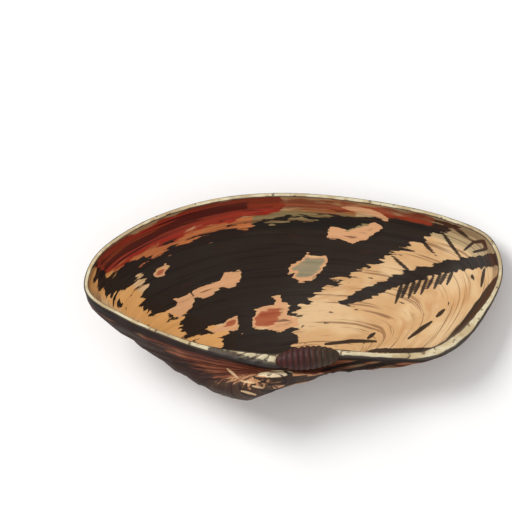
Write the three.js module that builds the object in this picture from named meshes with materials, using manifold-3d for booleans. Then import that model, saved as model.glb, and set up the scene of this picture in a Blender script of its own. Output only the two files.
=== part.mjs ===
// One valve of a freshwater bivalve, lying open side up on its rounded outside, with its ligament.
// Millimetres, +Z up. X runs from the front end (-) to the hind end (+), and Y from the hinge (-) to
// the belly edge (+). The origin is on the ground under the middle of the shell.
// The valve is first made in its own frame: the beak is at the origin and the rim lies in z = 0.
import * as THREE from "three";
import { mergeVertices } from "three/addons/utils/BufferGeometryUtils.js";
import Module from "manifold-3d";

const wasm = await Module();
wasm.setup();

// Outline of the rim, seen from the open side: from the beak along the hinge to the hind corner,
// round the hind end, back along the belly edge, round the front end and back to the beak.
const OUTLINE = [
  [2.1, 1.3],
  [9.5, 2.5],
  [17.5, 3.9],
  [30.5, 3.5],
  [39, 3.7],
  [45.6, 7],
  [52.4, 16],
  [56.4, 27],
  [53.7, 36.2],
  [44, 41.6],
  [26, 46.2],
  [4.2, 48.4],
  [-14, 46.4],
  [-31, 39.6],
  [-41.2, 30.6],
  [-43, 21.6],
  [-34.9, 15],
  [-20.8, 8.2],
  [-8, 3.6],
];

// Growth: each older rim is the same outline, smaller, turned about the hinge line.
const COIL = 0.96; // turn in radians each time the outline shrinks by a factor e
const FRONT_FULLNESS = 0.23; // share by which the front end turns faster than the hind end
const OLDEST = 0.05; // size of the first rim against the last
const BLUNT = 2.2; // drop of the outside just inside the rim, which makes the edge blunt
const BLUNT_FRONT = 1.6; // what the front end adds to it
const BLUNT_FRONT_REACH = 35;
const BLUNT_WITHIN = 0.06; // share of the size over which it drops
const KEEL = 1.3; // depth of the blunt ridge that runs from the beak to the hind end
const KEEL_AT = 0.315; // its place along the outline, from 0 to 1
const KEEL_WIDTH = 0.035;
const RELIEF = 0.28; // height of the growth ridges
const RIDGE_EVERY = 3; // rows from one growth ridge to the next

// Wall
const WALL_EDGE = 1.5; // thickness by the rim
const WALL_BEAK = 2.8; // thickness by the beak
const RIM = 1.1; // breadth of the rim
const LIP = 2.2; // what the lip at the hind corner adds to it
const LIP_AT = [44, 7.5];
const LIP_REACH = 12;
const PLATE = 2.8; // what the hinge plate adds to it
const PLATE_AT = [4, 2];
const PLATE_REACH = 15;
const RIM_CROWN = 0.35; // height of the rim's rounding
const CAVITY_END = 0.26; // size of the rim at which the hollow ends under the hinge plate
const BLEND = 0.16; // stretch over which the rim turns into the wall

// Hinge teeth, which stand on the hinge plate
const LATERAL = { from: [18.6, 5.3], to: [33, 4.7], width: 1.3, height: 0.8 };
const CARDINALS = [
  { at: [-4.6, 4.1], length: 4.2, width: 1.5, height: 0.9, turn: 28 },
  { at: [-1.2, 3.6], length: 3.4, width: 1.3, height: 0.8, turn: 40 },
];

// Ligament: a ribbed, rounded pad on the hinge line behind the beak
const LIGAMENT = { from: 2.2, to: 17.4, middle: 3.5, half: 3, height: 3.2, gap: 0.3 };
const LIGAMENT_SLOPE = 0.09; // how far it turns to follow the hinge line
const RIBS = 10;
const RIB_DEPTH = 0.22;

// Rest: the turn that brings the middle of the mass over the ground, and the flat worn there
const PITCH = -10;
const ROLL = 8.6;
const WORN = 0.24;

// Fineness
const AROUND = 84;
const OUTER_ROWS = 28;
const INNER_ROWS = 12;

const outline = new THREE.CatmullRomCurve3(
  OUTLINE.map(([x, y]) => new THREE.Vector3(x, y, 0)),
  true,
  "centripetal",
);

const smooth = (t) => THREE.MathUtils.smoothstep(t, 0, 1);
const bell = (distance, width) => Math.exp(-((distance / width) ** 2));

// A point of the outside: u runs round the outline, and s is the size of the rim it was grown at.
function outside(u, s) {
  const rim = outline.getPointAt(((u % 1) + 1) % 1);
  const turn = COIL * (1 - (FRONT_FULLNESS * rim.x) / rim.length()) * Math.log(1 / s);
  const keel = KEEL * bell(u - KEEL_AT, KEEL_WIDTH) * 4 * s * (1 - s);
  const blunt = BLUNT + BLUNT_FRONT * smooth(-rim.x / BLUNT_FRONT_REACH);
  const drop = keel + blunt * s * (1 - Math.exp((s - 1) / BLUNT_WITHIN));
  return new THREE.Vector3(s * rim.x, s * rim.y * Math.cos(turn), -s * rim.y * Math.sin(turn) - drop);
}

// The direction from the outside into the wall.
function inward(u, s) {
  const du = 0.002;
  const ds = 0.004 * s;
  const along = outside(u + du, s).sub(outside(u - du, s));
  const older = outside(u, s - ds).sub(outside(u, s + ds));
  return along.cross(older).normalize();
}

const ring = (place) => Array.from({ length: AROUND }, (_, i) => place(i / AROUND));

function rimBreadth(p) {
  const lip = LIP * bell(Math.hypot(p.x - LIP_AT[0], p.y - LIP_AT[1]), LIP_REACH);
  const plate = PLATE * bell(Math.hypot(p.x - PLATE_AT[0], p.y - PLATE_AT[1]), PLATE_REACH);
  return RIM + lip + plate;
}

// Closed body from a run of rings, with a fan over the first and the last.
function bodyFromRings(rings) {
  const points = rings.flat();
  const faces = [];
  for (let r = 0; r + 1 < rings.length; r++) {
    for (let i = 0; i < AROUND; i++) {
      const a = r * AROUND + i;
      const b = r * AROUND + ((i + 1) % AROUND);
      faces.push(a, b, b + AROUND, a, b + AROUND, a + AROUND);
    }
  }
  const last = (rings.length - 1) * AROUND;
  for (const [ringStart, flip] of [[0, true], [last, false]]) {
    const middle = new THREE.Vector3();
    for (let i = 0; i < AROUND; i++) middle.add(points[ringStart + i]);
    points.push(middle.divideScalar(AROUND));
    const hub = points.length - 1;
    for (let i = 0; i < AROUND; i++) {
      const a = ringStart + i;
      const b = ringStart + ((i + 1) % AROUND);
      faces.push(...(flip ? [b, a, hub] : [a, b, hub]));
    }
  }
  const geometry = new THREE.BufferGeometry().setFromPoints(points);
  geometry.setIndex(faces);
  return geometry;
}

// The bare valve: from the beak over the outside to the rim, and down the inside to the hollow's end.
function valveWall() {
  const rings = [];
  for (let k = OUTER_ROWS; k >= 0; k--) {
    const s = OLDEST ** ((k / OUTER_ROWS) ** 1.3);
    const ridge = k > 0 && k % RIDGE_EVERY === 0 ? RELIEF * Math.min(1, 3 * s) : 0;
    rings.push(ring((u) => outside(u, s).addScaledVector(inward(u, s), -ridge)));
  }
  const across = (u) => inward(u, 0.999).setZ(0).normalize();
  const onRim = (share, rise) =>
    ring((u) => {
      const p = outside(u, 1);
      return p.addScaledVector(across(u), share * rimBreadth(p)).setZ(rise);
    });
  rings.push(onRim(0.3, RIM_CROWN));
  rings.push(onRim(0.75, RIM_CROWN));
  rings.push(onRim(1, 0));
  for (let k = 1; k <= INNER_ROWS; k++) {
    const s = CAVITY_END ** ((k / INNER_ROWS) ** 1.25);
    const wall = THREE.MathUtils.lerp(WALL_BEAK, WALL_EDGE, s);
    rings.push(
      ring((u) => {
        const edge = across(u).multiplyScalar(rimBreadth(outside(u, 1)));
        const offset = edge.lerp(inward(u, s).multiplyScalar(wall), smooth((1 - s) / BLEND));
        return outside(u, s).add(offset);
      }),
    );
  }
  return bodyFromRings(rings);
}

// A tooth: a low ridge with a rounded top, pinched at both ends, that roots below the plate.
function tooth(length, width, height) {
  const root = 1;
  const profile = new THREE.Shape();
  profile.moveTo(-length / 2, -root);
  profile.lineTo(length / 2, -root);
  profile.quadraticCurveTo(length / 2, height, length / 4, height);
  profile.lineTo(-length / 4, height);
  profile.quadraticCurveTo(-length / 2, height, -length / 2, -root);
  const geometry = new THREE.ExtrudeGeometry(profile, {
    depth: width / 2,
    curveSegments: 4,
    bevelThickness: width / 4,
    bevelSize: width / 4,
    bevelSegments: 2,
  });
  geometry.translate(0, 0, -width / 4);
  return geometry.rotateX(Math.PI / 2);
}

function hingeTeeth() {
  const teeth = CARDINALS.map(({ at, length, width, height, turn }) =>
    tooth(length, width, height)
      .rotateZ(THREE.MathUtils.degToRad(turn))
      .translate(at[0], at[1], 0),
  );
  const [x0, y0] = LATERAL.from;
  const [x1, y1] = LATERAL.to;
  teeth.push(
    tooth(Math.hypot(x1 - x0, y1 - y0), LATERAL.width, LATERAL.height)
      .rotateZ(Math.atan2(y1 - y0, x1 - x0))
      .translate((x0 + x1) / 2, (y0 + y1) / 2, 0),
  );
  return teeth;
}

// The ligament: half-round sections along the hinge line, swollen in the middle and ribbed across.
function ligamentPad() {
  const { from, to, middle, half, height, gap } = LIGAMENT;
  const steps = RIBS * 3;
  const sides = 12;
  const points = [];
  const faces = [];
  for (let i = 0; i <= steps; i++) {
    const t = i / steps;
    const x = THREE.MathUtils.lerp(from, to, t);
    const swell = Math.sin(Math.PI * (0.1 + 0.8 * t)) ** 0.5;
    const rib = i % 3 === 0 ? -RIB_DEPTH : 0;
    const y = middle + LIGAMENT_SLOPE * (x - (from + to) / 2);
    for (let j = 0; j <= sides; j++) {
      const angle = (Math.PI * j) / sides;
      const out = half * swell + rib;
      const up = height * swell + rib;
      points.push(new THREE.Vector3(x, y - out * Math.cos(angle), gap + RIM_CROWN + up * Math.sin(angle)));
    }
  }
  const row = sides + 1;
  for (let i = 0; i < steps; i++) {
    for (let j = 0; j < row; j++) {
      const a = i * row + j;
      const b = i * row + ((j + 1) % row);
      faces.push(a, b + row, b, a, a + row, b + row);
    }
  }
  const last = steps * row;
  for (let j = 1; j < row - 1; j++) {
    faces.push(0, j, j + 1);
    faces.push(last, last + j + 1, last + j);
  }
  const geometry = new THREE.BufferGeometry().setFromPoints(points);
  geometry.setIndex(faces);
  return geometry;
}

function solid(geometry) {
  const bare = geometry.clone();
  bare.deleteAttribute("normal");
  bare.deleteAttribute("uv");
  const merged = mergeVertices(bare, 1e-3);
  const mesh = new wasm.Mesh({
    numProp: 3,
    vertProperties: merged.attributes.position.array,
    triVerts: new Uint32Array(merged.index.array),
  });
  return new wasm.Manifold(mesh);
}

function geometryOf(body) {
  const { vertProperties, triVerts } = body.getMesh();
  const geometry = new THREE.BufferGeometry();
  geometry.setAttribute("position", new THREE.BufferAttribute(vertProperties, 3));
  geometry.setIndex(new THREE.BufferAttribute(triVerts, 1));
  geometry.computeVertexNormals();
  return geometry;
}

// Turns a piece of the valve's own frame into the way the shell lies.
const lying = new THREE.Matrix4().makeRotationFromEuler(
  new THREE.Euler(THREE.MathUtils.degToRad(PITCH), THREE.MathUtils.degToRad(ROLL), 0, "XYZ"),
);

let valveBody = solid(valveWall());
for (const piece of hingeTeeth()) valveBody = valveBody.add(solid(piece));
const valveGeometry = geometryOf(valveBody).applyMatrix4(lying);
valveGeometry.computeBoundingBox();
const ground = valveGeometry.boundingBox.min.z + WORN;
const floorBlock = new THREE.BoxGeometry(200, 200, 20).translate(0, 0, ground - 10);
const wornValve = geometryOf(solid(valveGeometry).subtract(solid(floorBlock)));

const valve = new THREE.Mesh(
  wornValve,
  new THREE.MeshStandardMaterial({ color: "#c98f5c", roughness: 0.45, metalness: 0 }),
);
valve.name = "valve";

const ligament = new THREE.Mesh(
  ligamentPad().applyMatrix4(lying),
  new THREE.MeshStandardMaterial({ color: "#7c3a22", roughness: 0.6, metalness: 0 }),
);
ligament.name = "ligament";

const shell = new THREE.Group();
shell.add(valve, ligament);
const box = new THREE.Box3().setFromObject(shell);
const centre = box.getCenter(new THREE.Vector3());
shell.position.set(-centre.x, -centre.y, -ground);

export default shell;
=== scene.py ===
# One valve of a freshwater bivalve with its ligament, lying open side up on a pale floor.
# The valve frame has the beak at its origin and the rim in its z = 0 plane, in millimetres: x runs to
# the hind end and y to the belly edge. Every piece is made there and then laid down as the solids lie.
import math

import bpy
import numpy as np
from mathutils import Matrix, Vector
from mathutils.bvhtree import BVHTree


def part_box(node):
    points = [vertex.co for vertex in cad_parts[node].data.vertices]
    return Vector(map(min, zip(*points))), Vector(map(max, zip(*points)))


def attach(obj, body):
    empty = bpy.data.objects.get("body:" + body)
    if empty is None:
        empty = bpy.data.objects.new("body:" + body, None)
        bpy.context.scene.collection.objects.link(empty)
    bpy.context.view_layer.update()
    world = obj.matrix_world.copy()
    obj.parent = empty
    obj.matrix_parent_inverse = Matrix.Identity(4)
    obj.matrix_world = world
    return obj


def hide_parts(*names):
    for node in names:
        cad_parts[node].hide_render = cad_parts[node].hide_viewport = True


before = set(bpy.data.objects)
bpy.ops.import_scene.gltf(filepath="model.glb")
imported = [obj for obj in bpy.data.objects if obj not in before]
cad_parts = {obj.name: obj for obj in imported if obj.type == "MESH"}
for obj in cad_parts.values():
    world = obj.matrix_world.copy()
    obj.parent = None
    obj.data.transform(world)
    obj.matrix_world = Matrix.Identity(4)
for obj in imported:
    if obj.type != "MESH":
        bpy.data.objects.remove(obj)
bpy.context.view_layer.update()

MM = 0.001

# Outline of the rim and the growth that follows it, as in the solids
OUTLINE = [(2.1, 1.3), (9.5, 2.5), (17.5, 3.9), (30.5, 3.5), (39, 3.7), (45.6, 7), (52.4, 16),
           (56.4, 27), (53.7, 36.2), (44, 41.6), (26, 46.2), (4.2, 48.4), (-14, 46.4), (-31, 39.6),
           (-41.2, 30.6), (-43, 21.6), (-34.9, 15), (-20.8, 8.2), (-8, 3.6)]
COIL = 0.96
FRONT_FULLNESS = 0.23
OLDEST = 0.05
BLUNT, BLUNT_FRONT = 2.2, 1.6             # how far the blunt edge drops, and how much more in front
BLUNT_FRONT_REACH, BLUNT_WITHIN = 35, 0.06
KEEL, KEEL_AT, KEEL_WIDTH = 1.3, 0.315, 0.035   # the place and width are shares of the way round
RELIEF = 0.28             # height of a growth ridge
RIDGES = 28 / 3           # growth ridges from the rim to the beak
ROW_SPREAD = 1.3          # how the ridges crowd towards the rim
WALL_EDGE, WALL_BEAK = 1.5, 2.8
RIM, LIP, PLATE = 1.1, 2.2, 2.8
LIP_AT, LIP_REACH = (44, 7.5), 12
PLATE_AT, PLATE_REACH = (4, 2), 15
RIM_CROWN = 0.35
CAVITY_END, CAVITY_SPREAD = 0.26, 1.25
BLEND = 0.16
PITCH, ROLL = -10, 8.6    # degrees, as the shell lies

# Only in the scene: skin that is thickest under the front end, and the least wall between the inside
# and the outside, because the inside of the solid crosses its outside under the hinge line
SKIN_FRONT, SKIN_REACH = 1.2, 25
THINNEST_WALL, WALL_PASSES = 0.4, 3

# Low relief: a height in mm, how many cells of noise go round and down the shell, and a seed
RIDGE_WANDER = (0.25, 9, 10, 3)
SKIN_RELIEF = [(0.07, 24, 150, 5), (0.10, 60, 60, 8), (0.12, 110, 26, 9)]
RIM_RELIEF = (0.25, 120, 3, 12)
NACRE_RIPPLE = (0.05, 16, 60, 21)
NACRE_SWELL = (0.08, 9, 9, 22)
PALLIAL_LINE = dict(at=0.15, width=0.012, depth=0.10)
RIDGE_FADE, FINE_FADE, RIPPLE_FADE = 0.05, 0.04, 0.06   # how far from the rim each is full

# Hinge teeth and ligament, in mm
TEETH = [dict(start=(18.6, 4.9), end=(33, 4.6), width=0.6, height=0.5),
         dict(start=(-6.2, 3.6), end=(-3.0, 5.0), width=0.6, height=0.8),
         dict(start=(-2.3, 2.9), end=(-0.1, 4.6), width=0.5, height=0.7)]
LIGAMENT = dict(start=2.2, end=17.4, middle=3.5, half=3.0, height=3.2, base=0.65, slope=0.09)

# The drawing: a pixel is PIXEL mm, it looks VIEW_TILT degrees from straight on, from the hinge side,
# and BEAK_PIXEL is where the origin of the valve frame lies.
PIXEL = 0.236
VIEW_TILT = 28
BEAK_PIXEL = (266, 373)
IMAGE = 512
CAMERA_DISTANCE, SENSOR = 1.5, 36    # m and mm

# Floor and light: lamps by name, place in m, size in m and power in W
FLOOR_HALF = 3
WORLD_LIGHT = 0.6
LAMPS = [("key", (-0.5, 0.35, 0.75), 0.5, 6.5), ("fill", (0.6, -0.5, 0.6), 0.8, 1.6)]

# Fineness of the visible valve
AROUND = 512
OUTER_ROWS, RIM_ROWS, INNER_ROWS = 70, 10, 112
SPLINE_STEPS = 4000
LIGAMENT_COLUMNS, LIGAMENT_ROWS = 220, 72


def spline(points, count, shift=0.0):
    """Points of a closed centripetal Catmull-Rom curve, evenly spaced along it."""
    p = np.array(points, float)
    n = len(p)
    t = np.linspace(0, n, SPLINE_STEPS, endpoint=False)
    i = t.astype(int)
    w = (t - i)[:, None]
    a, b, c, d = (p[(i + k) % n] for k in (-1, 0, 1, 2))
    gap = lambda q, r: np.sqrt(np.linalg.norm(r - q, axis=1))[:, None]
    g0, g1, g2 = gap(a, b), gap(b, c), gap(c, d)
    m1 = ((b - a) / g0 - (c - a) / (g0 + g1) + (c - b) / g1) * g1
    m2 = ((c - b) / g1 - (d - b) / (g1 + g2) + (d - c) / g2) * g1
    q = b + m1 * w + (3 * (c - b) - 2 * m1 - m2) * w**2 + (2 * (b - c) + m1 + m2) * w**3
    closed = np.vstack([q, q[:1]])
    run = np.r_[0, np.cumsum(np.linalg.norm(np.diff(closed, axis=0), axis=1))]
    at = ((np.arange(count) / count + shift) % 1) * run[-1]
    return np.c_[np.interp(at, run, closed[:, 0]), np.interp(at, run, closed[:, 1])]


U = np.arange(AROUND) / AROUND
DU = 0.002                # step round the rim over which its direction is taken
RIM_LINE = spline(OUTLINE, AROUND)
RIM_NEXT = spline(OUTLINE, AROUND, DU)
RIM_BACK = spline(OUTLINE, AROUND, -DU)
RIM_LENGTH = np.linalg.norm(np.roll(RIM_LINE, -1, axis=0) - RIM_LINE, axis=1).sum()
STEP = RIM_LENGTH / AROUND
GROWTH = 46.0             # mm from the beak to the rim, as the mean over the shell


def bell(x, width):
    return np.exp(-((x / width) ** 2))


def smooth(x):
    x = np.clip(x, 0, 1)
    return x * x * (3 - 2 * x)


def outside(rim, u, s):
    """The outer surface: each older rim is the outline shrunk to s and turned about the hinge."""
    s = np.asarray(s, float)[:, None]
    x, y = rim[:, 0], rim[:, 1]
    turn = COIL * (1 - FRONT_FULLNESS * x / np.hypot(x, y)) * np.log(1 / s)
    keel = KEEL * bell(u - KEEL_AT, KEEL_WIDTH) * 4 * s * (1 - s)
    blunt = BLUNT + BLUNT_FRONT * smooth(-x / BLUNT_FRONT_REACH)
    drop = keel + blunt * s * (1 - np.exp((s - 1) / BLUNT_WITHIN))
    return np.stack([s * x, s * y * np.cos(turn), -s * y * np.sin(turn) - drop], axis=-1)


def inward(s):
    """Directions from the outer surface into the wall."""
    s = np.asarray(s, float)
    along = outside(RIM_NEXT, U + DU, s) - outside(RIM_BACK, U - DU, s)
    older = outside(RIM_LINE, U, s * 0.996) - outside(RIM_LINE, U, s * 1.004)
    n = np.cross(along, older)
    return n / np.linalg.norm(n, axis=-1, keepdims=True)


def rim_breadth(p):
    """Breadth of the rim: wider at the hind lip, and widest on the hinge plate."""
    lip = LIP * bell(np.hypot(p[..., 0] - LIP_AT[0], p[..., 1] - LIP_AT[1]), LIP_REACH)
    plate = PLATE * bell(np.hypot(p[..., 0] - PLATE_AT[0], p[..., 1] - PLATE_AT[1]), PLATE_REACH)
    return RIM + lip + plate


def lumps(u, v, across, down, seed):
    """Smooth noise from -1 to 1 that closes on itself in u; across by down cells."""
    grid = np.random.RandomState(seed).uniform(-1, 1, (down + 3, across))
    a, b = u * across, np.clip(v, 0, 1) * down
    i, j = np.floor(a).astype(int), np.floor(b).astype(int)
    fa, fb = smooth(a - i), smooth(b - j)
    at = lambda di, dj: grid[(j + dj) % (down + 3), (i + di) % across]
    return (at(0, 0) * (1 - fa) + at(1, 0) * fa) * (1 - fb) + (at(0, 1) * (1 - fa) + at(1, 1) * fa) * fb


def low_relief(u, v, kind):
    height, across, down, seed = kind
    return height * lumps(u, v, across, down, seed)


def round_rows(s):
    """The place round the rim of every point of the rows at sizes s."""
    return np.ones(len(s))[:, None] * U


def age(s):
    """0 at the rim and 1 at the beak, in steps as even as the growth ridges."""
    return (np.log(s) / math.log(OLDEST)) ** (1 / ROW_SPREAD)


def segment_distance(x, y, start, end):
    dx, dy = end[0] - start[0], end[1] - start[1]
    t = np.clip(((x - start[0]) * dx + (y - start[1]) * dy) / (dx * dx + dy * dy), 0, 1)
    return np.hypot(x - start[0] - t * dx, y - start[1] - t * dy)


def rim_sizes():
    """The size of each row of the outside, from the beak to the rim."""
    return OLDEST ** ((np.arange(OUTER_ROWS, -1, -1) / OUTER_ROWS) ** ROW_SPREAD)


def outer_rows():
    """The outside: a ridge at each growth step, finer lines over it and the skin of the front end."""
    s = rim_sizes()
    u = round_rows(s)
    a = age(np.maximum(s, OLDEST))[:, None] * np.ones(AROUND)
    phase = a * RIDGES + low_relief(u, a, RIDGE_WANDER) * np.minimum(1, 6 * a)
    step = phase - np.floor(phase)
    ridge = RELIEF * np.maximum(0, 1 - 3 * np.minimum(step, 1 - step)) * np.minimum(1, 3 * s)[:, None]
    fine = sum(low_relief(u, a, kind) for kind in SKIN_RELIEF)
    fade = smooth(a / FINE_FADE) * np.minimum(1, 2.5 * s)[:, None]
    off_rim = smooth(a / RIDGE_FADE)
    front = SKIN_FRONT * smooth(-RIM_LINE[:, 0] / SKIN_REACH) * off_rim * smooth((1 - a) / 0.5)
    height = ridge * off_rim + fine * fade + front
    return outside(RIM_LINE, U, s) - inward(s) * height[..., None], s


def across_rim():
    """Level directions from the outside to the hollow, over the rim."""
    n = inward([0.999])[0]
    n[:, 2] = 0
    return n / np.linalg.norm(n, axis=1, keepdims=True)


def rim_rows():
    """The rim: a crowned lip from the outside to the hollow, with the hinge teeth on it."""
    edge = outside(RIM_LINE, U, [1.0])[0]
    across, breadth = across_rim(), rim_breadth(edge)[:, None]
    rows = []
    for k in range(1, RIM_ROWS + 1):
        v = k / RIM_ROWS
        p = edge + across * breadth * v
        crown = RIM_CROWN * (1 - (2 * v - 1) ** 4)
        p[:, 2] = crown * (0.75 + low_relief(U, np.full(AROUND, v), RIM_RELIEF))
        for tooth in TEETH:
            d = segment_distance(p[:, 0], p[:, 1], tooth["start"], tooth["end"])
            p[:, 2] += tooth["height"] * bell(d, tooth["width"]) * 4 * v * (1 - v)
        rows.append(p)
    return np.array(rows)


def keep_in_wall(inner, outer):
    """Brings back the inner points that come too near the outside, or past it under the hinge line."""
    around = np.arange(AROUND)
    start = (np.arange(len(outer) - 1) * AROUND)[:, None]
    here, there = start + around, start + (around + 1) % AROUND
    quads = np.stack([here, there, there + AROUND, here + AROUND], axis=-1).reshape(-1, 4)
    skin = BVHTree.FromPolygons(outer.reshape(-1, 3).tolist(), quads.tolist())
    kept = inner.reshape(-1, 3).copy()
    for _ in range(WALL_PASSES):
        for k, point in enumerate(kept):
            place, normal, _, distance = skin.find_nearest(Vector(point))
            past = (Vector(point) - place).dot(normal) > 0
            if past or distance < THINNEST_WALL:
                kept[k] = place - normal * THINNEST_WALL
    return kept.reshape(inner.shape)


def inner_rows():
    """The inside: the outside set off by the wall, with ripples and the groove of the pallial line."""
    k = np.arange(1, INNER_ROWS + 1) / INNER_ROWS
    s = CAVITY_END ** (k**CAVITY_SPREAD)
    edge = across_rim() * rim_breadth(outside(RIM_LINE, U, [1.0])[0])[:, None]
    wall = (WALL_BEAK + (WALL_EDGE - WALL_BEAK) * s)[:, None, None]
    turn = smooth((1 - s) / BLEND)[:, None, None]
    points = outside(RIM_LINE, U, s) + (edge * (1 - turn) + inward(s) * wall * turn)
    a = (1 - s)[:, None] * np.ones(AROUND)
    u = round_rows(s)
    ripple = low_relief(u, a / (1 - CAVITY_END), NACRE_RIPPLE) + low_relief(u, a, NACRE_SWELL)
    pallial = -PALLIAL_LINE["depth"] * bell(a - PALLIAL_LINE["at"], PALLIAL_LINE["width"])
    height = (ripple + pallial) * smooth(a / RIPPLE_FADE)
    skin = outside(RIM_LINE, U, rim_sizes())
    return keep_in_wall(points + inward(s) * height[..., None], skin), s


LYING = Matrix.Rotation(math.radians(PITCH), 3, "X") @ Matrix.Rotation(math.radians(ROLL), 3, "Y")
TURN = np.array(LYING)


def lay(points):
    """Millimetres in the valve frame to metres as the shell lies, the shift still left out."""
    return np.asarray(points, float) @ TURN.T * MM


def shift_to_solid():
    """The shift that brings the laid valve onto its solid, from the boxes of both."""
    skin = outside(RIM_LINE, U, OLDEST ** (np.linspace(0, 1, 80) ** ROW_SPREAD))
    body = lay(np.vstack([skin.reshape(-1, 3), rim_rows().reshape(-1, 3)]))
    low, high = (np.array(v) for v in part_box("valve"))
    shift = (low + high) / 2 - (body.min(0) + body.max(0)) / 2
    rim_top = lay(rim_rows().reshape(-1, 3))[:, 2].max()
    shift[2] = high[2] - rim_top
    return shift


SHIFT = shift_to_solid()


def picture(points):
    """Where points of the valve frame lie in the drawing, in its pixels."""
    t = math.radians(VIEW_TILT)
    x = BEAK_PIXEL[0] + points[..., 0] / PIXEL
    y = BEAK_PIXEL[1] - (points[..., 1] * math.cos(t) + points[..., 2] * math.sin(t)) / PIXEL
    return x, y


# Markings, as places in the drawing
# Painted shade: the drawing's dark mass over the hollow's upper wall, its middle and the cavity under the
# beak
PAINTED_SHADE_FIELD = [(93, 264), (96, 270), (94, 277), (97, 283), (98, 288), (103, 292), (108, 297),
              (115, 303), (118, 305), (113, 295), (117, 291), (132, 283), (138, 276), (145, 276),
              (146, 283), (142, 295), (140, 305), (147, 316), (156, 312), (170, 313), (180, 315),
              (179, 327), (186, 337), (195, 338), (211, 331), (225, 329), (236, 327), (223, 337),
              (222, 352), (240, 362), (268, 362), (292, 356), (297, 342), (298, 326), (297, 308),
              (317, 292), (350, 276), (367, 267), (393, 255), (422, 242), (446, 231), (462, 227),
              (440, 222), (405, 216), (360, 214), (310, 216), (262, 223), (222, 232), (186, 243),
              (150, 256), (122, 268), (104, 276)]
PALE_FIELDS = [
    [(330, 231), (333, 227), (349, 230), (370, 224), (377, 222), (383, 228), (370, 237), (354, 243),
     (340, 238), (329, 236)],
    [(291, 266), (303, 260), (308, 254), (312, 257), (327, 256), (329, 260), (324, 267), (312, 281),
     (301, 281), (294, 277), (297, 272), (290, 274)],
    [(192, 292), (198, 289), (220, 281), (224, 273), (240, 272), (240, 279), (234, 285), (227, 288),
     (220, 287), (214, 292), (204, 298), (194, 297)],
    [(167, 312), (178, 305), (174, 300), (182, 298), (189, 294), (193, 300), (191, 306), (186, 312),
     (179, 317)],
    [(152, 275), (156, 270), (164, 265), (168, 266), (161, 275), (156, 277)],
    [(253, 322), (257, 313), (256, 310), (275, 306), (277, 301), (271, 297), (280, 297), (282, 303),
     (288, 305), (287, 316), (298, 319), (299, 327), (289, 328), (281, 333), (270, 330), (253, 328)],
    [(209, 331), (225, 324), (228, 320), (236, 318), (237, 329), (227, 331), (219, 333)],
    [(334, 204), (356, 205), (380, 212), (390, 220), (376, 215), (354, 209)],
]
GREENISH_SPOT = dict(at=(311, 268), size=(26, 18), turn=-35)
RUST_SPOTS = [dict(at=(266, 319), size=(17, 10), turn=-20), dict(at=(229, 324), size=(9, 5), turn=-20),
              dict(at=(160, 271), size=(9, 5), turn=-38)]
RED_BAND = [(104, 264), (122, 250), (146, 238), (174, 226), (206, 213), (240, 206), (272, 203)]
RED_LINES = [(250, 204), (300, 202), (350, 206), (400, 213), (432, 220)]
ORANGE_BAND = [(104, 284), (120, 270), (150, 254), (190, 238), (230, 227), (270, 219), (310, 216),
               (350, 217)]
OLIVE_FIELD = [(262, 219), (300, 219), (340, 221), (375, 226)]
GREY_FIELD = [(400, 214), (440, 224), (475, 238), (496, 256)]
# Painted shadow along the ridge that runs from the ligament to the hind tip
SHADOW_STRIPE = [(318, 316), (340, 306), (360, 297), (380, 289), (400, 281), (425, 273), (450, 267),
          (478, 262), (499, 260)]
# Nine hatches of painted shade hang side by side from the painted shadow stripe, every second one longer
SHADE_HATCHES = [[(404 + 6.5 * k, 284 - 1.8 * k), (397 + 6.5 * k, 304 - 2.4 * k - 3 * (k % 2))]
           for k in range(9)]
# Painted shade: the dark line where the rim meets the hollow, and the broader shade under the hind lip
LIP_LINE = [(338, 350), (397, 351), (436, 350), (448, 345), (462, 331), (484, 302), (500, 280),
            (505, 264)]
LIP_SHADE = [(450, 342), (464, 327), (482, 303), (499, 281)]
CRACKS = [[(391, 253), (413, 273)], [(423, 239), (439, 256)], [(443, 230), (465, 260)],
          [(451, 223), (476, 241)], [(467, 250), (476, 242), (486, 241), (489, 249), (476, 252)]]
SCRATCHES = [[(409, 339), (433, 322)], [(438, 317), (446, 310)], [(369, 339), (376, 334)],
             [(326, 345), (352, 342), (377, 342)], [(474, 275), (476, 280)], [(487, 268), (483, 287)]]
GOLD_BAND = [(98, 280), (125, 300), (172, 326), (222, 346)]
UMBO_LINES = [[(261, 382), (283, 380), (307, 376)], [(262, 391), (277, 391), (297, 386)],
              [(268, 385), (286, 383), (313, 377)], [(322, 371), (340, 366), (362, 362), (376, 360)],
              [(254, 377), (262, 380), (284, 379), (291, 375), (284, 371)]]
# Painted shade along the lower edge of the wedge below the hinge, drawn thick
WEDGE_SHADE_EDGE = [(286, 385), (320, 377), (352, 371), (388, 363), (426, 358)]
# Painted shadow of the ligament and beak over the hinge plate
HINGE_SHADE = [(212, 351), (250, 365), (290, 369), (336, 363)]
# Painted highlights: thin light strokes on the dark beak
GLINT_STROKES = [[(227, 369), (238, 378)], [(241, 381), (254, 383)], [(252, 386), (263, 388)],
                [(241, 391), (256, 395)]]
# Painted shade along the underside of the outer skin
UNDER_EDGE = [(92, 318), (112, 332), (144, 350), (176, 369), (208, 387), (236, 396), (268, 398)]
ALMOND = dict(at=(275, 374), size=(18, 3.5), turn=-4)

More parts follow.
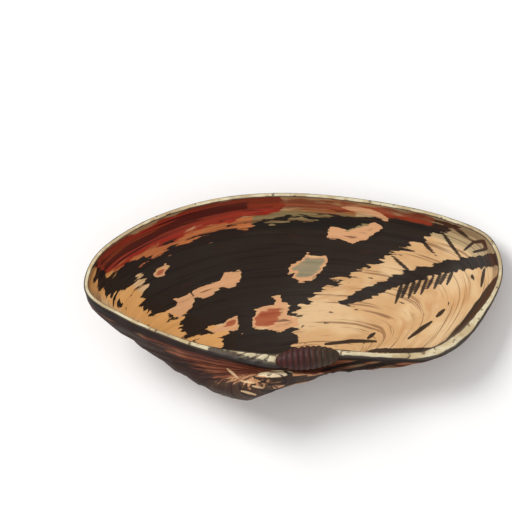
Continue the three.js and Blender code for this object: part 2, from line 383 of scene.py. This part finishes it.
# How far a band spreads from its line, how thick a brush line is and how soft a field's edge, in pixels
BANDS = {"red": (RED_BAND, 14), "redlines": (RED_LINES, 8), "orange": (ORANGE_BAND, 11),
         "olive": (OLIVE_FIELD, 12), "grey": (GREY_FIELD, 18), "gold": (GOLD_BAND, 17),
         "hinge_shade": (HINGE_SHADE, 9)}
BRUSHED = {"line": (SHADE_HATCHES + CRACKS + SCRATCHES, 3.3), "umboline": (UMBO_LINES, 3.0),
           "glint_stroke": (GLINT_STROKES, 1.9)}
STRIPE_SPREAD, STRIPE_START, STRIPE_RISE = 6.5, 312, 60
LIP_LINE_SPREAD, LIP_SHADE_SPREAD, UNDER_SPREAD, WEDGE_THICKNESS = 2.6, 4.5, 16, 4.0
DARK_SOFT, PALE_SOFT = 12, 5
BRUSH_END, BRUSH_SWELL = 0.62, 0.5    # a brush line's share of its thickness at the ends, and more within
GROOVE_AT, GROOVE_SPREAD = 1.6, 0.5   # the groove beside a hinge tooth, in widths of the tooth


def line_distance(x, y, points):
    return np.min([segment_distance(x, y, a, b) for a, b in zip(points, points[1:])], axis=0)


def brush_distance(x, y, points):
    """As line_distance, but it grows faster towards both ends, so that a line drawn with it tapers."""
    count = len(points) - 1
    reach = []
    for k in range(count):
        (x0, y0), (x1, y1) = points[k:k + 2]
        length_squared = (x1 - x0) ** 2 + (y1 - y0) ** 2
        t = np.clip(((x - x0) * (x1 - x0) + (y - y0) * (y1 - y0)) / length_squared, 0, 1)
        weight = BRUSH_END + BRUSH_SWELL * np.sin(math.pi * (k + t) / count)
        reach.append(segment_distance(x, y, points[k], points[k + 1]) / weight)
    return np.min(reach, axis=0)


def in_field(x, y, points, soft):
    """1 well inside a closed outline and 0 well outside it, soft pixels wide in between."""
    inside = np.zeros(np.shape(x), bool)
    closed = points + points[:1]
    for (x0, y0), (x1, y1) in zip(closed, closed[1:]):
        crosses = (y0 > y) != (y1 > y)
        inside ^= crosses & (x < (x1 - x0) * (y - y0) / ((y1 - y0) or 1e-9) + x0)
    d = line_distance(x, y, closed)
    return smooth(0.5 + np.where(inside, d, -d) / (2 * soft))


def in_spot(x, y, spot):
    t = math.radians(spot["turn"])
    dx, dy = x - spot["at"][0], y - spot["at"][1]
    a = (dx * math.cos(t) + dy * math.sin(t)) / spot["size"][0]
    b = (-dx * math.sin(t) + dy * math.cos(t)) / spot["size"][1]
    return smooth(1.5 - np.hypot(a, b))


def groove_by_teeth(points):
    """1 in the grooves on both sides of a hinge tooth, which the rim's colour darkens, and 0 elsewhere.
    """
    x, y = points[..., 0], points[..., 1]
    d = np.min([segment_distance(x, y, tooth["start"], tooth["end"]) / tooth["width"]
                for tooth in TEETH], axis=0)
    return bell(d - GROOVE_AT, GROOVE_SPREAD)


def brushed(x, y, lines, thickness):
    return bell(np.min([brush_distance(x, y, line) for line in lines], axis=0), thickness)


def shallow(points, depth, rise):
    """1 near the rim plane and 0 below depth mm, so that no mark repeats on a side turned away."""
    return smooth((points[..., 2] + depth) / rise)


def markings(points):
    """The zones of the drawing on the points of the valve, each from 0 to 1."""
    x, y = picture(points)
    spots = np.max([in_field(x, y, field, PALE_SOFT) for field in PALE_FIELDS], axis=0)
    lip = np.maximum(bell(line_distance(x, y, LIP_LINE), LIP_LINE_SPREAD),
                     bell(line_distance(x, y, LIP_SHADE), LIP_SHADE_SPREAD))
    zones = {name: bell(line_distance(x, y, line), spread) for name, (line, spread) in BANDS.items()}
    zones |= {name: brushed(x, y, lines, thick) for name, (lines, thick) in BRUSHED.items()}
    # the umbo's growth lines, with the painted shade along the wedge's lower edge
    zones["umboline"] = np.maximum(zones["umboline"], brushed(x, y, [WEDGE_SHADE_EDGE], WEDGE_THICKNESS))
    # painted shade over the hollow, left open at the pale spots
    zones["dark"] = in_field(x, y, PAINTED_SHADE_FIELD, DARK_SOFT) * (1 - spots)
    zones["pale"] = spots
    zones["greenish"] = in_spot(x, y, GREENISH_SPOT) * spots
    zones["rust"] = np.max([in_spot(x, y, spot) for spot in RUST_SPOTS], axis=0) * spots
    shadow_stripe = bell(line_distance(x, y, SHADOW_STRIPE), STRIPE_SPREAD)
    zones["shadow_stripe"] = shadow_stripe * smooth((x - STRIPE_START) / STRIPE_RISE)
    zones["lip_shade_line"] = lip * shallow(points, 4.5, 2)
    zones["shade"] = bell(line_distance(x, y, UNDER_EDGE), UNDER_SPREAD) * shallow(points, 17, 5)
    zones["almond"] = in_spot(x, y, ALMOND) * shallow(points, 9, 2)
    zones["groove"] = groove_by_teeth(points)
    return zones


def valve_faces(rows):
    """Quads between neighbouring rows, and a fan of triangles on the hub at each end."""
    i = np.arange(AROUND)
    j = (i + 1) % AROUND
    quads = [np.c_[a, b, b + AROUND, a + AROUND]
             for a, b in ((r * AROUND + i, r * AROUND + j) for r in range(rows - 1))]
    first, last = rows * AROUND, rows * AROUND + 1
    top = (rows - 1) * AROUND
    fans = [[b, a, first] for a, b in zip(i, j)] + [[top + a, top + b, last] for a, b in zip(i, j)]
    return np.concatenate(quads).tolist() + fans


def growth_map(grown):
    """UV of every corner: mm round the shell and mm of growth, so that lines keep their real spacing."""
    row = np.repeat(np.arange(len(grown) - 1), AROUND)
    col = np.tile(np.arange(AROUND), len(grown) - 1)
    u = np.c_[col, col + 1, col + 1, col] * STEP
    v = np.c_[grown[row], grown[row], grown[row + 1], grown[row + 1]]
    fans = [[(a + 1) * STEP, g, a * STEP, g, (a + 0.5) * STEP, g + 1]
            for g in (grown[0], grown[-1]) for a in range(AROUND)]
    return np.r_[np.stack([u, v], axis=-1).ravel(), np.ravel(fans)]


def valve_mesh(materials):
    outer, outer_s = outer_rows()
    inner, inner_s = inner_rows()
    rows = np.concatenate([outer, rim_rows(), inner])
    points = np.vstack([rows.reshape(-1, 3), rows[0].mean(0), rows[-1].mean(0)])
    laid = lay(points) + SHIFT
    laid[:, 2] = np.maximum(laid[:, 2], 0)
    mesh = bpy.data.meshes.new("valve_surface")
    mesh.from_pydata(laid.tolist(), [], valve_faces(len(rows)))
    for material in materials:
        mesh.materials.append(material)
    grown = GROWTH * np.concatenate([1 - outer_s, np.zeros(RIM_ROWS), 1 - inner_s])
    mesh.uv_layers.new(name="growth").data.foreach_set("uv", growth_map(grown))
    row = np.repeat(np.arange(len(rows) - 1), AROUND)
    rim_starts = len(outer_s) - 1
    slots = np.where(row < rim_starts, 0, np.where(row < rim_starts + RIM_ROWS, 1, 2))
    slots = np.r_[slots, np.zeros(AROUND, int), np.full(AROUND, 2)]
    mesh.polygons.foreach_set("material_index", slots.astype(np.int32))
    mesh.polygons.foreach_set("use_smooth", np.ones(len(mesh.polygons), bool))
    breadth = np.concatenate([np.zeros(len(outer_s)), np.arange(1, RIM_ROWS + 1) / RIM_ROWS,
                              np.ones(len(inner_s))])
    zones = markings(points)
    zones["breadth"] = np.r_[np.repeat(breadth, AROUND), 0, 1]
    zones["grown"] = np.r_[np.repeat(grown, AROUND), grown[0], grown[-1]] / GROWTH
    for name, zone in zones.items():
        mesh.attributes.new(name, "FLOAT", "POINT").data.foreach_set("value", zone.astype(np.float32))
    mesh.update()
    return mesh


NOISE_APART = 7.3         # how far apart the noises of one material are taken, so that none repeats


def linear(code):
    """An sRGB hex colour as linear red, green, blue and alpha."""
    parts = [int(code[i:i + 2], 16) / 255 for i in (1, 3, 5)]
    return tuple(c / 12.92 if c <= 0.04045 else ((c + 0.055) / 1.055) ** 2.4 for c in parts) + (1,)


def add(tree, kind, settings=None, **links):
    """Adds a node: settings are its properties, and links its inputs, as values, outputs or nodes.
    i and a number stands for an input by its place, and a node for its first output."""
    node = tree.nodes.new(kind)
    for key, value in (settings or {}).items():
        setattr(node, key, value)
    for key, value in links.items():
        by_place = key[0] == "i" and key[1:].isdigit()
        socket = node.inputs[int(key[1:]) if by_place else key.replace("_", " ")]
        if isinstance(value, bpy.types.Node):
            value = value.outputs[0]
        if isinstance(value, bpy.types.NodeSocket):
            tree.links.new(value, socket)
        else:
            socket.default_value = value
    return node


def dressed(name, base, patterns, layers, relief, **shader):
    """A material of colour layers over a base. Patterns are noises drawn out to their real sizes in mm,
    on the shell's growth map or on the object. A layer is a zone or None, the pattern that breaks its
    edge up, how far it does, the value where it starts and where it is full, its colour and its
    strength. Relief lists patterns with their heights in mm."""
    material = bpy.data.materials.new(name)
    material.use_nodes = True
    tree = material.node_tree
    surface = tree.nodes["Principled BSDF"]
    growth = add(tree, "ShaderNodeUVMap", {"uv_map": "growth"}).outputs[0]
    on_object = add(tree, "ShaderNodeTexCoord").outputs["Object"]
    places = {"growth": (growth, 1), "object": (on_object, MM)}
    noise = {}
    for key, (place, size, detail) in patterns.items():
        source, unit = places[place]
        apart = [NOISE_APART * (len(noise) + 1)] * 3
        stretched = add(tree, "ShaderNodeMapping", None, Vector=source, Location=apart,
                        Scale=[1 / (width * unit) for width in size])
        noise[key] = add(tree, "ShaderNodeTexNoise", None, Vector=stretched, Scale=1.0, Detail=detail)
    colour = linear(base)
    for zone, pattern, spread, low, high, code, strength in layers:
        middle = 0.5 * spread
        held = middle
        if zone:
            held = add(tree, "ShaderNodeAttribute", {"attribute_name": zone}).outputs["Fac"]
        value = add(tree, "ShaderNodeMath", {"operation": "MULTIPLY_ADD"}, i0=noise[pattern],
                    i1=spread, i2=held)
        mask = add(tree, "ShaderNodeMapRange", {"interpolation_type": "SMOOTHSTEP"}, Value=value,
                   From_Min=low + middle, From_Max=high + middle, To_Max=strength)
        layer = add(tree, "ShaderNodeMix", {"data_type": "RGBA"}, i0=mask, i6=colour, i7=linear(code))
        colour = layer.outputs[2]
    height = 0.0
    for pattern, rise in relief:
        height = add(tree, "ShaderNodeMath", {"operation": "MULTIPLY_ADD"}, i0=noise[pattern],
                     i1=rise, i2=height)
    bump = add(tree, "ShaderNodeBump", None, Height=height, Distance=MM, Strength=1.0)
    tree.links.new(bump.outputs[0], surface.inputs["Normal"])
    tree.links.new(colour, surface.inputs["Base Color"])
    for key, value in shader.items():
        surface.inputs[key.replace("_", " ")].default_value = value
    return material


def inside_nacre():
    # Worn nacre, laid down in thin layers and stained in bands: a satin sheen over tan and maroon, with
    # umber painted shade near black over the hollow's upper wall, the beak cavity, a ridge stripe, hatch
    # strokes and the rim's inner edge; every edge is drawn out along the growth lines.
    patterns = {"wide": ("growth", (14, 2.2, 1), 3), "fine": ("growth", (26, 0.5, 1), 3),
                "comb": ("growth", (7, 0.8, 1), 5), "ragged": ("object", (5, 5, 5), 6),
                "blotch": ("object", (11, 11, 11), 3)}
    layers = [
        (None, "blotch", 1, 0.42, 0.62, "#dab98c", 0.8),
        (None, "wide", 1, 0.50, 0.70, "#b98350", 0.5),
        ("orange", "wide", 0.9, 0.40, 0.65, "#b4602d", 0.9),
        ("grey", "wide", 0.8, 0.40, 0.65, "#a8946f", 0.8),
        ("olive", "wide", 0.8, 0.40, 0.65, "#77704c", 0.85),
        (None, "fine", 1, 0.54, 0.64, "#5f341b", 0.6),
        ("gold", "wide", 0.8, 0.35, 0.65, "#d99c57", 0.8),
        ("red", "comb", 1.6, 0.40, 0.60, "#951d0b", 0.95),
        ("red", "wide", 1.2, 0.95, 1.20, "#b84a20", 0.75),
        ("red", "fine", 1.2, 0.87, 1.00, "#3f0a04", 0.9),
        # painted shade of the hollow, in near black
        ("dark", "comb", 2.2, 0.40, 0.48, "#130906", 0.98),
        ("dark", "wide", 1.2, 1.12, 1.30, "#3a1c10", 0.7),
        ("redlines", "comb", 1.2, 0.65, 0.90, "#92351a", 0.85),
        ("pale", "comb", 1.5, 0.42, 0.50, "#d29c70", 0.95),
        ("pale", "comb", 1.4, 0.95, 1.20, "#a97f58", 0.8),
        ("pale", "fine", 1.0, 1.05, 1.15, "#4b2a18", 0.8),
        ("greenish", "comb", 1.2, 0.60, 0.90, "#848066", 0.85),
        ("rust", "comb", 1.4, 0.55, 0.75, "#9c4423", 0.85),
        # painted shadow stripe along the ridge, in near black
        ("shadow_stripe", "comb", 1.5, 0.36, 0.48, "#130906", 0.98),
        # the hatches are painted shade; the cracks and scratches are real marks
        ("line", "ragged", 0.5, 0.66, 0.86, "#1a0d08", 0.95),
        # painted shade under the rim's inner edge and the hind lip
        ("lip_shade_line", "comb", 0.5, 0.34, 0.50, "#1d0e08", 0.95),
        # painted shade on the nacre just inside the rim
        ("grown", "fine", 0.3, 0.05, 0.0, "#4f2a15", 0.55),
    ]
    return dressed("stained_nacre", "#cda271", patterns, layers, [("fine", 0.12), ("blotch", 0.06)],
                   Roughness=0.5, IOR=1.45, Specular_IOR_Level=0.2)


def rim_lip():
    # The cut edge of the layers: chalky cream with dark pits, and dark skin lapping over its outer edge.
    # Its grooves by the hinge teeth are darkened; painted shade lies over the hinge plate under the
    # ligament and beak, and along the inner edge where the rim drops into the hollow.
    patterns = {"fine": ("growth", (10, 0.5, 1), 3), "blotch": ("object", (3.5, 3.5, 3.5), 4),
                "pit": ("object", (1.4, 1.4, 1.4), 4)}
    layers = [
        (None, "blotch", 1, 0.44, 0.62, "#b59c70", 0.8),
        (None, "fine", 1, 0.54, 0.64, "#9a7b52", 0.6),
        (None, "pit", 1, 0.60, 0.66, "#4c3220", 0.8),
        # the grooves beside the hinge teeth, darkened
        ("groove", "blotch", 0.4, 0.45, 0.75, "#5b4029", 0.8),
        # painted shadow on the hinge plate under the ligament and beak
        ("hinge_shade", "pit", 1.4, 0.40, 0.72, "#241209", 0.9),
        ("breadth", "blotch", 0.4, 0.30, 0.16, "#1d0e08", 0.95),
        # painted shade along the inner edge, where the rim drops into the hollow
        ("breadth", "blotch", 0.3, 0.80, 0.90, "#24130b", 0.92),
    ]
    return dressed("chalky_rim", "#d3c5a2", patterns, layers, [("fine", 0.08), ("pit", 0.1)],
                   Roughness=0.6, IOR=1.5)


def outer_skin():
    # Dried horny skin: rough and wrinkled along the growth lines, rubbed to tan at the beak, with painted
    # shade towards the lower edge and just under the rim, painted highlight strokes on the beak, and
    # painted shade along the wedge's lower edge.
    patterns = {"wide": ("growth", (18, 2.4, 1), 4), "fine": ("growth", (70, 0.9, 1), 3),
                "comb": ("growth", (9, 1.0, 1), 5), "wrinkle": ("object", (2.6, 2.6, 2.6), 6),
                "patch": ("object", (11, 11, 11), 3)}
    layers = [
        (None, "patch", 1, 0.42, 0.60, "#9c6040", 0.75),
        (None, "wide", 1, 0.50, 0.66, "#4c1d10", 0.85),
        (None, "patch", 1, 0.57, 0.68, "#756a49", 0.75),
        ("grown", "wrinkle", 0.5, 0.70, 0.80, "#c48e63", 0.92),
        ("shade", "comb", 1.5, 0.42, 0.66, "#1f0e08", 0.92),
        ("almond", "wrinkle", 0.5, 0.45, 0.60, "#ecd6b0", 0.95),
        (None, "fine", 1, 0.53, 0.59, "#2a110a", 0.85),
        ("umboline", "wrinkle", 0.5, 0.62, 0.82, "#1d0d07", 0.95),
        # painted highlight strokes on the beak
        ("glint_stroke", "wrinkle", 0.5, 0.62, 0.82, "#d8b48a", 0.9),
        # painted shade on the skin just under the rim's edge
        ("grown", "comb", 0.03, 0.035, 0.02, "#180b06", 0.95),
    ]
    heights = [("fine", 0.3), ("comb", 0.15), ("wrinkle", 0.2)]
    return dressed("horny_skin", "#7b3f27", patterns, layers, heights,
                   Roughness=0.65, IOR=1.5, Specular_IOR_Level=0.3)


def ligament_horn():
    # Dry horny ligament: layered and brittle, very dark red-brown in front and olive behind, dull, with
    # painted shade in the furrows between its ribs and a painted highlight on their crests.
    patterns = {"grain": ("object", (1.6, 1.6, 1.6), 4), "speck": ("object", (0.6, 0.6, 0.6), 4)}
    layers = [
        ("along", "grain", 0.3, 0.42, 0.78, "#33240f", 1.0),
        (None, "speck", 1, 0.50, 0.64, "#2c0f08", 0.5),
        # painted shade in the furrows between the ribs
        ("crest", "grain", 0.3, 0.45, 0.05, "#1f0a05", 0.92),
        # painted highlight on the rib crests
        ("crest", "grain", 0.5, 0.85, 1.10, "#6b3020", 0.3),
    ]
    return dressed("dry_ligament", "#38100a", patterns, layers, [("grain", 0.12), ("speck", 0.05)],
                   Roughness=0.55, IOR=1.54, Specular_IOR_Level=0.3)


def ligament_tree():
    """A ribbed pad: a grid wrapped round a swollen axis. Sizes are in mm in its named inputs."""
    tree = bpy.data.node_groups.new("ribbed_pad", "GeometryNodeTree")
    face = tree.interface
    face.new_socket("Geometry", in_out="OUTPUT", socket_type="NodeSocketGeometry")
    inputs = {}
    for name, value in [("Length", 15.2), ("Half Width", 3.0), ("Height", 3.2), ("Ribs", 11.0),
                        ("Rib Depth", 0.34), ("Seed", 4.0)]:
        item = face.new_socket(name, in_out="INPUT", socket_type="NodeSocketFloat")
        item.default_value = value
        inputs[name] = item.identifier
    item = face.new_socket("Material", in_out="INPUT", socket_type="NodeSocketMaterial")
    inputs["Material"] = item.identifier
    source = tree.nodes.new("NodeGroupInput").outputs
    sums = "ShaderNodeMath"
    plus, minus, times, times_plus, power = (
        {"operation": name} for name in ("ADD", "SUBTRACT", "MULTIPLY", "MULTIPLY_ADD", "POWER"))
    sine, cosine, unsigned, larger = (
        {"operation": name} for name in ("SINE", "COSINE", "ABSOLUTE", "MAXIMUM"))

    # A unit grid: along runs from 0 to 1 over the pad, and angle once round it
    grid = add(tree, "GeometryNodeMeshGrid", None, Size_X=1.0, Size_Y=1.0,
               Vertices_X=LIGAMENT_COLUMNS, Vertices_Y=LIGAMENT_ROWS)
    position = add(tree, "GeometryNodeInputPosition")
    place = add(tree, "ShaderNodeSeparateXYZ", None, Vector=position).outputs
    along = add(tree, sums, plus, i0=place["X"], i1=0.5)
    angle = add(tree, sums, times, i0=place["Y"], i1=2 * math.pi)

    # Uneven growth: a noise about 0 that sways the ribs and the pad's sizes
    noise = add(tree, "ShaderNodeTexNoise", {"noise_dimensions": "4D"}, W=source["Seed"], Scale=7.0)
    uneven = add(tree, sums, minus, i0=noise.outputs["Fac"], i1=0.5)

    # The pad swells from both ends, and its ribs are the crests of a folded sine
    half_turn = add(tree, sums, times, i0=along, i1=math.pi)
    swell = add(tree, sums, power, i0=add(tree, sums, sine, i0=half_turn), i1=0.42)
    swayed = add(tree, sums, times_plus, i0=uneven, i1=0.05, i2=along)
    rib_turns = add(tree, sums, times, i0=source["Ribs"], i1=math.pi)
    wave = add(tree, sums, sine, i0=add(tree, sums, times, i0=swayed, i1=rib_turns))
    crest = add(tree, sums, power, i0=add(tree, sums, unsigned, i0=wave), i1=0.6)
    furrow = add(tree, sums, minus, i0=1.0, i1=crest)
    cut = add(tree, sums, times, i0=furrow, i1=source["Rib Depth"])

    # Its reach sideways and upwards, round below as little as the hinge plate leaves
    wide = add(tree, sums, times_plus, i0=uneven, i1=0.5, i2=source["Half Width"])
    out = add(tree, sums, times, i0=add(tree, sums, minus, i0=wide, i1=cut), i1=swell)
    high = add(tree, sums, times_plus, i0=uneven, i1=0.4, i2=source["Height"])
    up = add(tree, sums, times, i0=add(tree, sums, minus, i0=high, i1=cut), i1=swell)
    lift = add(tree, sums, cosine, i0=angle)
    flattened = add(tree, sums, times, i0=lift, i1=0.06)
    x = add(tree, sums, times, i0=place["X"], i1=source["Length"])
    y = add(tree, sums, times, i0=add(tree, sums, sine, i0=angle), i1=out)
    z = add(tree, sums, times, i0=add(tree, sums, larger, i0=lift, i1=flattened), i1=up)
    wrapped = add(tree, "ShaderNodeCombineXYZ", None, X=x, Y=y, Z=z)

    store, on_points = "GeometryNodeStoreNamedAttribute", {"data_type": "FLOAT", "domain": "POINT"}
    marked = add(tree, store, on_points, Geometry=grid, Name="along", Value=along)
    marked = add(tree, store, on_points, Geometry=marked, Name="crest", Value=crest)
    moved = add(tree, "GeometryNodeSetPosition", None, Geometry=marked, Position=wrapped)
    merged = add(tree, "GeometryNodeMergeByDistance", None, Geometry=moved, Distance=0.002)
    shade = add(tree, "GeometryNodeSetShadeSmooth", None, Geometry=merged)
    real = add(tree, "GeometryNodeRealizeInstances", None, Geometry=shade)
    done = add(tree, "GeometryNodeSetMaterial", None, Geometry=real, Material=source["Material"])
    tree.links.new(done.outputs[0], tree.nodes.new("NodeGroupOutput").inputs[0])
    return tree, inputs


def link(name, mesh):
    piece = bpy.data.objects.new(name, mesh)
    bpy.context.scene.collection.objects.link(piece)
    return piece


def make_valve():
    piece = link("valve_dressed", valve_mesh([outer_skin(), rim_lip(), inside_nacre()]))
    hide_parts("valve")
    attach(piece, "root")


def make_ligament():
    tree, inputs = ligament_tree()
    start, end = LIGAMENT["start"], LIGAMENT["end"]
    maker = link("ligament_maker", bpy.data.meshes.new("empty"))
    modifier = maker.modifiers.new("ribs", "NODES")
    modifier.node_group = tree
    for name, value in [("Length", end - start), ("Half Width", LIGAMENT["half"]),
                        ("Height", LIGAMENT["height"]), ("Material", ligament_horn())]:
        modifier[inputs[name]] = value
    deps = bpy.context.evaluated_depsgraph_get()
    mesh = bpy.data.meshes.new_from_object(maker.evaluated_get(deps), depsgraph=deps)
    bpy.data.objects.remove(maker)
    made = np.empty(len(mesh.vertices) * 3)
    mesh.vertices.foreach_get("co", made)
    made = made.reshape(-1, 3)
    x = made[:, 0] + (start + end) / 2
    y = made[:, 1] + LIGAMENT["middle"] + LIGAMENT["slope"] * made[:, 0]
    z = made[:, 2] + LIGAMENT["base"]
    mesh.vertices.foreach_set("co", (lay(np.c_[x, y, z]) + SHIFT).ravel())
    mesh.update()
    piece = link("ligament_dressed", mesh)
    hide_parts("ligament")
    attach(piece, "root")


def make_camera():
    t = math.radians(VIEW_TILT)
    right = LYING @ Vector((1, 0, 0))
    up = LYING @ Vector((0, math.cos(t), math.sin(t)))
    back = LYING @ Vector((0, -math.sin(t), math.cos(t)))
    middle = Vector(SHIFT) + right * ((IMAGE / 2 - BEAK_PIXEL[0]) * PIXEL * MM)
    middle += up * ((BEAK_PIXEL[1] - IMAGE / 2) * PIXEL * MM)
    data = bpy.data.cameras.new("camera")
    data.sensor_width = SENSOR
    data.lens = data.sensor_width * CAMERA_DISTANCE / (IMAGE * PIXEL * MM)
    camera = link("camera", data)
    camera.matrix_world = Matrix.Translation(middle + back * CAMERA_DISTANCE) @ Matrix(
        (right, up, back)).transposed().to_4x4()
    bpy.context.scene.camera = camera


def make_floor():
    corners = [(x * FLOOR_HALF, y * FLOOR_HALF, 0) for x, y in ((-1, -1), (1, -1), (1, 1), (-1, 1))]
    mesh = bpy.data.meshes.new("floor")
    mesh.from_pydata(corners, [], [(0, 1, 2, 3)])
    material = bpy.data.materials.new("pale_floor")
    material.use_nodes = True
    shader = material.node_tree.nodes["Principled BSDF"]
    shader.inputs["Base Color"].default_value = linear("#f7f6f4")
    shader.inputs["Roughness"].default_value = 0.9
    mesh.materials.append(material)
    link("floor", mesh)


def make_light():
    scene = bpy.context.scene
    world = bpy.data.worlds.new("studio")
    world.use_nodes = True
    background = world.node_tree.nodes["Background"]
    background.inputs["Color"].default_value = (1, 1, 1, 1)
    background.inputs["Strength"].default_value = WORLD_LIGHT
    scene.world = world
    scene.view_settings.view_transform = "Standard"
    for name, place, size, power in LAMPS:
        data = bpy.data.lights.new(name, "AREA")
        data.size = size
        data.energy = power
        lamp = link(name, data)
        lamp.location = place
        lamp.rotation_mode = "QUATERNION"
        lamp.rotation_quaternion = Vector(place).to_track_quat("Z", "Y")


make_camera()
make_floor()
make_light()
make_valve()
make_ligament()
